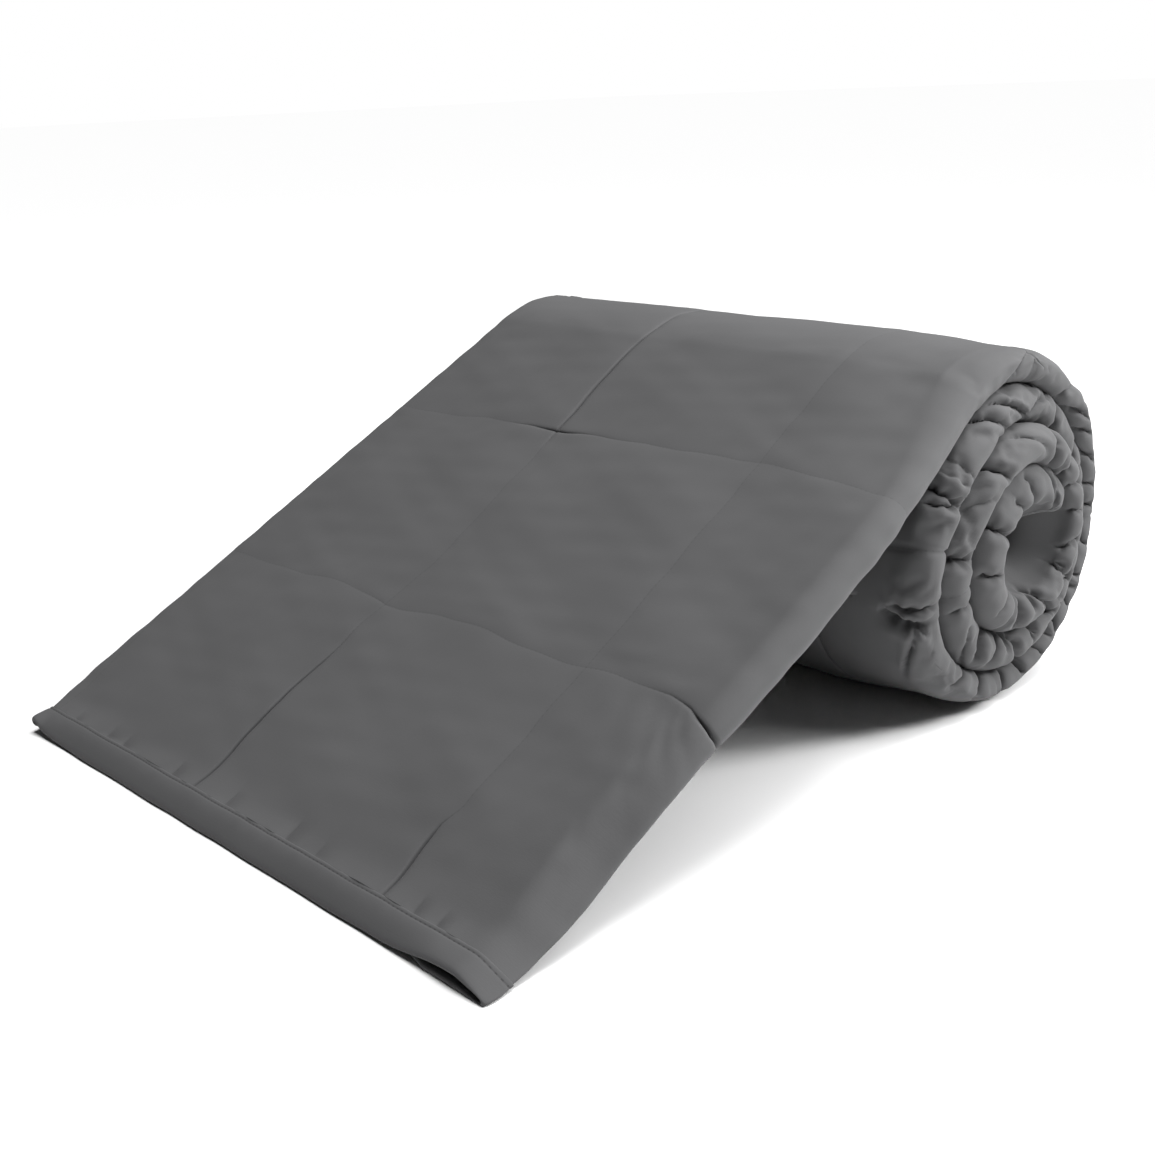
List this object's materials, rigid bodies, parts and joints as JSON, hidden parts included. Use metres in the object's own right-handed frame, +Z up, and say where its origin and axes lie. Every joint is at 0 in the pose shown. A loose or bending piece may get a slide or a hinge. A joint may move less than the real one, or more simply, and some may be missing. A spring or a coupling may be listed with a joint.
{
  "type": "folded and rolled weighted blanket",
  "caption": "Quilted weighted blanket, folded in three lengthwise and rolled up, with its bound end sloping down to the floor.",
  "frame": {"origin": "centre of the bounding box's bottom face, on the floor", "axes": "+X along the roll's axis towards the wound end whose turns show, +Y from the bound front end towards the roll, +Z up"},
  "size_m": [0.4382, 0.5301, 0.217],
  "materials": {
    "quilted_cloth": "matt woven cotton, dark grey",
    "edge_binding": "matt woven cotton, dark grey"
  },
  "bodies": {
    "root": {"quilted_cloth": "quilted_cloth", "edge_binding": "edge_binding"}
  },
  "joints": []
}
